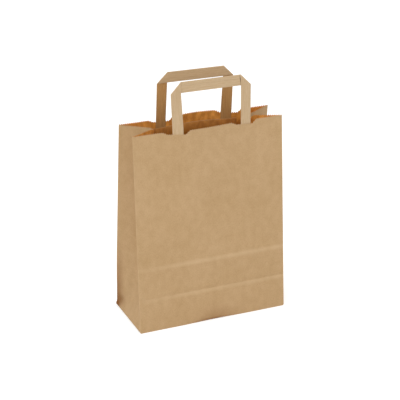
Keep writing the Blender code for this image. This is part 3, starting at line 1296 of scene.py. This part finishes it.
@dataclass
class HandlePatch(GluedIn):
    """The strip of paper glued over both legs of a handle inside the bag."""

    columns: int = 131
    rows: int = 15

    def build(self) -> Piece:
        """Makes the patch: flat on the panel, lifted in a smooth ramp over each leg.

        Returns:
            The piece.
        """
        sizes = self.sizes
        top = self.form.sizes.panel_height - sizes.patch_drop
        across = np.linspace(-sizes.patch_width / 2, sizes.patch_width / 2, self.columns)
        up = np.linspace(top - sizes.patch_height, top, self.rows)
        lifted_half = sizes.tape_width / 2 + sizes.patch_margin
        left, right = self.legs
        middles = (left.shift - sizes.leg_place, right.shift + sizes.leg_place)
        beyond = np.minimum(*(np.abs(across - middle) for middle in middles)) - lifted_half
        lift = (sizes.tape + sizes.seat) * smooth_step(1 - beyond / sizes.patch_ramp)
        inset = self.form.sizes.paper / 2 + sizes.seat + sizes.patch_paper / 2 + lift
        grid, height = np.meshgrid(across, up)
        points = self.form.panel(self.side, self.centre + grid, height, np.broadcast_to(inset, grid.shape))
        if self.side is Side.FRONT:
            points = points[:, ::-1]
        # Where along the sheet the patch reads its pattern.
        pattern_place = 0.3
        plain, clear = np.zeros(grid.shape), np.ones(grid.shape)
        places = [grid + pattern_place, height, plain, plain, clear, plain]
        sheet = PaperSheet(sizes.patch_paper)
        sheet.add_grid(points, np.stack(places, axis=-1))
        return sheet.shell(self.name)


def linear_colour(code: str) -> tuple[float, float, float, float]:
    """Turns an sRGB hex value into linear light, by the standard's own curve.

    Args:
        code: Six hex digits.

    Returns:
        Red, green, blue and an alpha of one.
    """
    parts = np.array([int(code[start : start + 2], 16) for start in (0, 2, 4)]) / 255
    low, high = parts / 12.92, ((parts + 0.055) / 1.055) ** 2.4
    red, green, blue = np.where(parts <= 0.04045, low, high)
    return float(red), float(green), float(blue), 1.0


def connect(tree: Tree, node: Node, inputs: dict[str | int, Any]) -> None:
    """Gives the inputs of a node their values and links.

    Args:
        tree: The node tree.
        node: The node.
        inputs: For each named or numbered input a value, the socket to link from, or the node
            whose first output is meant.
    """
    for name, value in inputs.items():
        if isinstance(value, Node):
            value = value.outputs[0]
        if isinstance(value, bpy.types.NodeSocket):
            tree.links.new(value, node.inputs[name])
        else:
            node.inputs[name].default_value = value


def add_node(tree: Tree, kind: str, inputs: dict[str | int, Any] | None = None, **settings: Any) -> Node:
    """Adds a node with its settings, values and links.

    Args:
        tree: The node tree.
        kind: Blender's name of the node, without the ShaderNode that all of them start with.
        inputs: What each input gets, as for connect.
        settings: Properties of the node.

    Returns:
        The node.
    """
    node = tree.nodes.new("ShaderNode" + kind)
    for name, value in settings.items():
        setattr(node, name, value)
    connect(tree, node, inputs or {})
    return node


def new_material(name: str) -> tuple[bpy.types.Material, Tree]:
    """Makes a material that is ready for its nodes.

    Args:
        name: Name of the material.

    Returns:
        The material and its node tree.
    """
    material = bpy.data.materials.new(name)
    material.use_nodes = True
    return material, material.node_tree


@dataclass(frozen=True)
class Grain:
    """Noise whose grains are so many millimetres across and along the sheet, and its weight."""

    across_mm: float
    along_mm: float
    weight: float
    octaves: float = 2.0
    lowest: float = 0.30
    highest: float = 0.70

    def pattern(self, tree: Tree, place: Any) -> Node:
        """Makes the noise and spreads the range that it seldom leaves to fill nought to one.

        Args:
            tree: The node tree.
            place: Socket with the place on the flat sheet.

        Returns:
            The node with the spread noise.
        """
        fineness = (1 / MM / self.across_mm, 1 / MM / self.along_mm, 0.0)
        scaled = add_node(tree, "VectorMath", {0: place, 1: fineness}, operation="MULTIPLY")
        noise = add_node(tree, "TexNoise", {"Vector": scaled, "Scale": 1.0, "Detail": self.octaves})
        return add_node(tree, "MapRange", {"Value": noise, "From Min": self.lowest, "From Max": self.highest})


@dataclass(frozen=True)
class Band:
    """A soft band across the sheet, and for a crease the mark that says how clear it is."""

    middle_mm: float
    half_width_mm: float
    strength: float
    mark: str = "Y"

    def pattern(self, tree: Tree, place: Any) -> Node:
        """Makes the band: its strength at the middle, fading to nought, level at both ends.

        Args:
            tree: The node tree.
            place: Socket with a place along the sheet.

        Returns:
            The node with the band.
        """
        off = add_node(tree, "Math", {0: place, 1: self.middle_mm * MM}, operation="SUBTRACT")
        off = add_node(tree, "Math", {0: off}, operation="ABSOLUTE")
        reach = {"Value": off, "From Min": self.half_width_mm * MM, "From Max": 0.0, "To Max": self.strength}
        return add_node(tree, "MapRange", reach, interpolation_type="SMOOTHSTEP")


class Coat(Enum):
    """How a colour lies on another: it covers it, or it tints it darker."""

    COVER = "MIX"
    TINT = "MULTIPLY"


def weighted_sum(tree: Tree, parts: Sequence[tuple[Any, Any]]) -> Any:
    """Adds up patterns, each multiplied by its weight.

    Args:
        tree: The node tree.
        parts: Pairs of a pattern and its weight, each a socket, a node or a number.

    Returns:
        The node with the sum.
    """
    total: Any = 0.0
    for pattern, weight in parts:
        total = add_node(tree, "Math", {0: pattern, 1: weight, 2: total}, operation="MULTIPLY_ADD")
    return total


def coated(tree: Tree, ground: Any, coats: Sequence[tuple[Any, Any, Coat]]) -> Any:
    """Lays coats of colour on a ground, one after the other.

    Args:
        tree: The node tree.
        ground: The lowest colour, as a hex value or a socket.
        coats: How much of each coat shows, its colour, as a hex value or a socket, and its kind.

    Returns:
        The socket with the finished colour.
    """
    for share, colour, coat in coats:
        below, above = (linear_colour(part) if isinstance(part, str) else part for part in (ground, colour))
        inputs = {0: share, 6: below, 7: above}
        ground = add_node(tree, "Mix", inputs, data_type="RGBA", blend_type=coat.value).outputs[2]
    return ground


@dataclass(frozen=True)
class Surface:
    """How deep a paper's relief is, and how rough and how glossy it is."""

    relief_mm: float
    roughness: float
    specular: float

    def dress(self, tree: Tree, colour: Any, relief: Any) -> None:
        """Gives the material's shader its colour, its relief and its gloss.

        Args:
            tree: The node tree.
            colour: Socket with the colour.
            relief: Node with the pattern that stands out.
        """
        bump = add_node(tree, "Bump", {"Strength": 1.0, "Distance": self.relief_mm * MM, "Height": relief})
        gloss = {"Roughness": self.roughness, "Specular IOR Level": self.specular}
        connect(tree, tree.nodes["Principled BSDF"], {"Base Color": colour, "Normal": bump, **gloss})


@dataclass(frozen=True)
class KraftPaper:
    """Brown machine-finished kraft: long unbleached fibres, pressed smooth, uncoated and matt.

    The eye sees soft clouds where the pulp lies thicker, a speckle, and fibres mostly along the
    sheet's run, which is up the bag. The inside is painted a warmer orange for light that comes
    through the paper or goes to and fro inside the bag, and painted darker further down as painted
    shade.
    """

    name: str
    thin: str
    thick: str
    # Inside colours: painted warm light, for light that comes through the paper and bounces inside the bag.
    inside_warm_light_thin: str
    inside_warm_light_thick: str
    fibre_tint: str
    # Colour of the cut edges, made lighter as painted highlight on the rims.
    cut_edge_and_highlight: str
    # Colour of scuffing and painted highlight along folds and creases.
    worn_and_highlit: str
    # Colour of the painted shade, and of the glue at the rear lap.
    glue_and_shade: str = "b58f62"
    # Painted shade: the inside darkens between these two heights, further down the bag.
    inside_painted_shade: str = "d2bf7c"
    painted_shade_mm: tuple[float, float] = (270.0, 250.0)
    creases: tuple[Band, ...] = ()
    # Whether the inside also gets scuffing and painted highlight.
    worn_and_highlit_inside: bool = False
    surface: Surface = Surface(relief_mm=0.035, roughness=0.82, specular=0.30)
    drift: Grain = Grain(45.0, 70.0, 0.26)
    cloud: Grain = Grain(9.0, 14.0, 0.40, 3.0)
    speckle: Grain = Grain(1.6, 2.2, 0.34)
    blotch: Grain = Grain(7.0, 10.0, 0.7, 4.0)
    # A fibre is 0.03 mm thick and 3 mm long. It is drawn 0.6 mm thick, or it would never show.
    fibre: Grain = Grain(0.6, 2.4, 1.0)
    pulp_inside: float = 0.3
    speckle_relief: float = 0.6
    facing_margin: float = 0.2
    fibre_from: float = 0.62
    fibre_full: float = 0.95
    fibre_strength: float = 0.24
    # Scuffing and painted highlight along the folds, and the speckle that breaks them up.
    fold_wear_and_highlight: float = 0.22
    wear_and_highlight_mottle: tuple[float, float] = (0.5, 0.75)

    def wear_and_highlight(self, tree: Tree, parts: Any, marks: Any, mottle: Any) -> Node:
        """How much scuffing and painted highlight lighten the paper: along its folds, and in a soft band
        along each crease.

        Args:
            tree: The node tree.
            parts: Node with the place on the flat sheet and its scuffing and painted highlight, separated.
            marks: Node with the darkening and the clearness of the creases, separated.
            mottle: Node with a speckle that breaks the bands up.

        Returns:
            The node with the scuffing and painted highlight.
        """
        height = parts.outputs[1]
        bands = [(crease.pattern(tree, height), marks.outputs[crease.mark]) for crease in self.creases]
        total = weighted_sum(tree, [(parts.outputs[2], self.fold_wear_and_highlight), *bands])
        gain, least = self.wear_and_highlight_mottle
        uneven = add_node(tree, "Math", {0: mottle, 1: gain, 2: least}, operation="MULTIPLY_ADD")
        return add_node(tree, "Math", {0: total, 1: uneven}, operation="MULTIPLY", use_clamp=True)

    def build(self) -> bpy.types.Material:
        """Makes the material.

        Returns:
            The material.
        """
        material, tree = new_material(self.name)
        place = add_node(tree, "Attribute", attribute_name=SHEET_ATTRIBUTE).outputs["Vector"]
        marks = add_node(tree, "Attribute", attribute_name=MARK_ATTRIBUTE).outputs["Vector"]
        facing = add_node(tree, "Attribute", attribute_name=FACING_ATTRIBUTE).outputs["Fac"]
        parts, marks = (add_node(tree, "SeparateXYZ", {0: vector}) for vector in (place, marks))
        drift, cloud, speckle, blotch, fibre = (
            (grain.pattern(tree, place), grain.weight)
            for grain in (self.drift, self.cloud, self.speckle, self.blotch, self.fibre)
        )
        is_inside, is_cut = (
            add_node(tree, "Math", {0: facing, 1: face.value, 2: self.facing_margin}, operation="COMPARE")
            for face in (Facing.INSIDE, Facing.CUT_EDGE)
        )
        pulp = weighted_sum(tree, [drift, cloud, speckle])
        outside = coated(tree, self.thin, [(pulp, self.thick, Coat.COVER)])
        # Painted shade: the inside darkens further down the bag.
        start, end = (height * MM for height in self.painted_shade_mm)
        depth = {"Value": parts.outputs[1], "From Min": start, "From Max": end}
        painted_shade = add_node(tree, "MapRange", depth, interpolation_type="SMOOTHSTEP")
        blotched = weighted_sum(tree, [blotch, (pulp, self.pulp_inside)])
        lit = [(blotched, self.inside_warm_light_thick, Coat.COVER), (painted_shade, self.inside_painted_shade, Coat.TINT)]
        inside = coated(tree, self.inside_warm_light_thin, lit)
        fibres = {"Value": fibre[0], "From Min": self.fibre_from, "From Max": self.fibre_full}
        strand = add_node(tree, "MapRange", {**fibres, "To Max": self.fibre_strength})
        # Scuffing and painted highlight go on the outside, and on the inside where asked.
        worn_and_highlit_faces = is_inside
        if not self.worn_and_highlit_inside:
            worn_and_highlit_faces = add_node(tree, "Math", {0: 1.0, 1: facing}, operation="SUBTRACT", use_clamp=True)
        wear_and_highlight = self.wear_and_highlight(tree, parts, marks, speckle[0])
        worn_and_highlit = add_node(tree, "Math", {0: wear_and_highlight, 1: worn_and_highlit_faces}, operation="MULTIPLY")
        coats = (
            (is_inside, inside, Coat.COVER),
            (strand, self.fibre_tint, Coat.TINT),
            (worn_and_highlit, self.worn_and_highlit, Coat.COVER),
            # Painted shade, and the glued lap, darken the paper.
            (marks, self.glue_and_shade, Coat.TINT),
            # Cut edges, lighter as painted highlight.
            (is_cut, self.cut_edge_and_highlight, Coat.COVER),
        )
        relief = weighted_sum(tree, [fibre, (speckle[0], self.speckle_relief)])
        self.surface.dress(tree, coated(tree, outside, coats), relief)
        return material


@dataclass(frozen=True)
class TapePaper:
    """Pale kraft tape, folded in plies and glued under pressure: smoother, streaked along its run.

    The streaks are the edges of the plies and the drag of the folding former. The side that faces
    into the bag is painted browner, as painted shade and warm bounce light. A painted shadow line
    stands where the grip passes behind a leg, most of all at the right, where the fold is slack.
    """

    name: str
    light: str
    dark: str
    # Tint of the painted shade and warm bounce on the faces that look into the bag.
    painted_inner_shade_colour: str
    # Painted shadow lines where the grip passes behind a leg, on the outer face only.
    gap_shadow: str = "6e5c48"
    gap_shadow_lines: tuple[Band, ...] = (Band(7.5, 0.9, 0.25), Band(92.2, 1.1, 0.95))
    gap_shadow_face: float = 0.0001
    surface: Surface = Surface(relief_mm=0.03, roughness=0.70, specular=0.35)
    streak: Grain = Grain(1.3, 26.0, 0.65)
    fine: Grain = Grain(0.6, 5.0, 0.35)

    def build(self) -> bpy.types.Material:
        """Makes the material.

        Returns:
            The material.
        """
        material, tree = new_material(self.name)
        place = add_node(tree, "Attribute", attribute_name=SHEET_ATTRIBUTE).outputs["Vector"]
        # Painted shade and warm bounce on the faces that look into the bag.
        painted_inner_shade = add_node(tree, "Attribute", attribute_name=PAINTED_INNER_SHADE_ATTRIBUTE).outputs["Fac"]
        parts = add_node(tree, "SeparateXYZ", {0: place})
        grains = (self.streak, self.fine)
        drawn = weighted_sum(tree, [(grain.pattern(tree, place), grain.weight) for grain in grains])
        coats = [(drawn, self.dark, Coat.COVER), (painted_inner_shade, self.painted_inner_shade_colour, Coat.TINT)]
        # Painted shadow lines where the grip passes behind a leg.
        outer = add_node(tree, "Math", {0: parts.outputs[2], 1: self.gap_shadow_face}, operation="GREATER_THAN")
        for gap_shadow_line in self.gap_shadow_lines:
            shade = gap_shadow_line.pattern(tree, parts.outputs[1])
            shade = add_node(tree, "Math", {0: shade, 1: outer}, operation="MULTIPLY")
            coats.append((shade, self.gap_shadow, Coat.TINT))
        self.surface.dress(tree, coated(tree, self.light, coats), drawn)
        return material


@dataclass(frozen=True)
class Softbox:
    """One large soft lamp that looks at the middle of the bag."""

    name: str
    place: tuple[float, float, float]
    size: float
    power: float

    def build(self, target: Vector) -> None:
        """Hangs the lamp.

        Args:
            target: Where it looks.
        """
        lamp = bpy.data.lights.new(self.name, "AREA")
        lamp.shape = "SQUARE"
        lamp.size = self.size
        lamp.energy = self.power
        item = bpy.data.objects.new(self.name, lamp)
        item.location = self.place
        item.rotation_euler = (target - Vector(self.place)).to_track_quat("-Z", "Y").to_euler()
        bpy.context.scene.collection.objects.link(item)


@dataclass(frozen=True)
class PhotoCamera:
    """The photograph's camera, as it was fitted to the bag's corners."""

    azimuth: float = 23.87
    elevation: float = 23.36
    roll: float = 0.56
    target_height: float = 0.1407
    sideways: float = 0.0011
    upwards: float = -0.02024
    distance: float = 1.8788
    focal_px: float = 1353.0
    frame_px: float = 400.0
    sensor_mm: float = 36.0
    nearest: float = 0.05
    farthest: float = 50.0

    def build(self) -> None:
        """Sets up the camera: right, up and backward axes from the three angles, then its place."""
        turn, tilt, roll = (math.radians(value) for value in (self.azimuth, self.elevation, self.roll))
        back = Vector((-math.sin(turn) * math.cos(tilt), -math.cos(turn) * math.cos(tilt), math.sin(tilt)))
        level = (-back).cross(Vector((0, 0, 1))).normalized()
        upright = level.cross(-back)
        right = level * math.cos(roll) + upright * math.sin(roll)
        above = upright * math.cos(roll) - level * math.sin(roll)
        axes = Matrix((right, above, back)).transposed()
        target = Vector((0, 0, self.target_height))
        location = target - right * self.sideways - above * self.upwards + back * self.distance
        lens = bpy.data.cameras.new("photo_camera")
        lens.sensor_width = self.sensor_mm
        lens.lens = self.focal_px * self.sensor_mm / self.frame_px
        lens.clip_start, lens.clip_end = self.nearest, self.farthest
        item = bpy.data.objects.new("photo_camera", lens)
        item.matrix_world = Matrix.Translation(location) @ axes.to_4x4()
        bpy.context.scene.collection.objects.link(item)
        bpy.context.scene.camera = item


@dataclass
class Studio:
    """A white table, white surroundings and soft lamps."""

    white: str = "ffffff"
    table_radius: float = 6.0
    table_corners: int = 64
    table_drop: float = 0.0002
    table_white: str = "efefee"
    table_glow: float = 0.38
    sky_strength: float = 0.74
    lamp_target: tuple[float, float, float] = (0.0, 0.0, 0.15)
    lamps: tuple[Softbox, ...] = (
        Softbox("overhead_softbox", (-0.3, -0.4, 1.9), 1.6, 13.0),
        Softbox("front_softbox", (-1.2, -1.6, 1.1), 1.4, 6.5),
    )

    def seen_directly(self, tree: Tree) -> Any:
        """One for light paths that come straight from the camera or by way of gloss or glass.

        Args:
            tree: The node tree.

        Returns:
            The node with the one or nought.
        """
        path = add_node(tree, "LightPath")
        seen = path.outputs["Is Camera Ray"]
        for ray in ("Is Glossy Ray", "Is Transmission Ray"):
            seen = add_node(tree, "Math", {0: seen, 1: path.outputs[ray]}, operation="MAXIMUM")
        return seen

    def build_table(self) -> None:
        """Makes the table: a round sheet, matt white, with a little glow that only the lens sees."""
        turn = np.linspace(0, 2 * math.pi, self.table_corners, endpoint=False)
        rim = np.stack([np.cos(turn), np.sin(turn), np.zeros(len(turn))], axis=-1) * self.table_radius
        rim[:, 2] = -self.table_drop
        table = mesh_piece("white_table", rim, np.arange(len(rim)), np.array([len(rim)]))
        material, tree = new_material("matt_white_table")
        glow = add_node(tree, "Math", {0: self.seen_directly(tree), 1: self.table_glow}, operation="MULTIPLY")
        light = {"Emission Color": linear_colour(self.white), "Emission Strength": glow}
        matt = {"Base Color": linear_colour(self.table_white), "Roughness": 1.0, "Specular IOR Level": 0.0}
        connect(tree, tree.nodes["Principled BSDF"], {**matt, **light})
        table.data.materials.append(material)

    def build_sky(self) -> None:
        """Makes the surroundings: even light on the bag, and plain white for the lens."""
        world = bpy.data.worlds.new("white_surroundings")
        world.use_nodes = True
        tree = world.node_tree
        tree.nodes.clear()
        light, white = (
            add_node(tree, "Background", {"Color": linear_colour(self.white), "Strength": strength})
            for strength in (self.sky_strength, 1.0)
        )
        both = add_node(tree, "MixShader", {0: self.seen_directly(tree), 1: light, 2: white})
        add_node(tree, "OutputWorld", {"Surface": both})
        bpy.context.scene.world = world

    def build(self, camera: PhotoCamera) -> None:
        """Makes the whole studio.

        Args:
            camera: The camera to set up.
        """
        self.build_table()
        self.build_sky()
        for lamp in self.lamps:
            lamp.build(Vector(self.lamp_target))
        camera.build()
        bpy.context.scene.view_settings.view_transform = "Standard"


BODY_PAPER = KraftPaper(
    "machine_finished_kraft",
    thin="c7a67e",
    thick="b59468",
    # The inside colours are painted warm orange light.
    inside_warm_light_thin="fcb556",
    inside_warm_light_thick="bb7029",
    fibre_tint="cdb596",
    # The cut edge colour is lighter as painted highlight on the rims.
    cut_edge_and_highlight="cfb48d",
    # Scuffing and painted highlight along the folds, a light line below the low crease and a band on the
    # press mark.
    worn_and_highlit="dcc09a",
    creases=(Band(45.0, 4.6, 0.19), Band(46.8, 1.3, 0.09), Band(91.0, 5.2, 0.22, "Z")),
)
PATCH_PAPER = KraftPaper(
    "thin_kraft_patch",
    thin="bf9d74",
    thick="b29066",
    # Inside colours: painted warm light, darker than the body's as painted shade on the patch.
    inside_warm_light_thin="e9a658",
    inside_warm_light_thick="b9793a",
    fibre_tint="c8ae8c",
    # Light cut edge, scuffing colour and the one band are a painted highlight along the patch's top edge; the
    # band is no crease.
    cut_edge_and_highlight="d8b887",
    worn_and_highlit="dfb37c",
    creases=(Band(267.6, 1.2, 0.42),),
    worn_and_highlit_inside=True,
    cloud=Grain(6.0, 5.0, 0.40, 3.0),
)
# The tape's browner tint on its inner faces is painted shade and warm bounce light.
TAPE_PAPER = TapePaper("folded_kraft_tape", light="ceb492", dark="b99b73", painted_inner_shade_colour="edd1a5")
FRONT_LEGS = (LegSet(-0.0008, -0.0024, -0.0011), LegSet(-0.0001, 0.0010, 0.0011))
REAR_LEGS = (LegSet(0.0025, 0.0006, -0.0011), LegSet(-0.0005, 0.0010))
FRONT_CENTRE = 0.0046
REAR_CENTRE = -0.0013


def finish_piece(piece: Piece, node: str, material: bpy.types.Material) -> None:
    """Dresses a piece, ties it to the CAD and reports it.

    Args:
        piece: The new piece.
        node: The CAD node that it stands for.
        material: Its finish.
    """
    piece.data.materials.append(material)
    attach(piece, "root")
    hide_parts(node)
    log.info("%s: %d faces for %s", piece.name, len(piece.data.polygons), node)


def main() -> None:
    """Builds the bag and its studio, piece by piece."""
    logging.basicConfig(level=logging.INFO, format="%(message)s")
    body = BagBody(BagSizes(), Relief())
    kraft, tape, patch_paper = BODY_PAPER.build(), TAPE_PAPER.build(), PATCH_PAPER.build()
    finish_piece(body.build(), "bag_body", kraft)
    for label, side, centre, legs in (
        ("front", Side.FRONT, FRONT_CENTRE, FRONT_LEGS),
        ("rear", Side.REAR, REAR_CENTRE, REAR_LEGS),
    ):
        glued = (side, centre, body.form, HandleSizes(), legs)
        handle = TapeHandle(f"{label}_tape_handle", *glued)
        finish_piece(handle.build(), f"{label}_handle", tape)
        patch = HandlePatch(f"{label}_glued_patch", *glued)
        finish_piece(patch.build(), f"{label}_handle_patch", patch_paper)
    Studio().build(PhotoCamera())


if __name__ == "__main__":
    main()
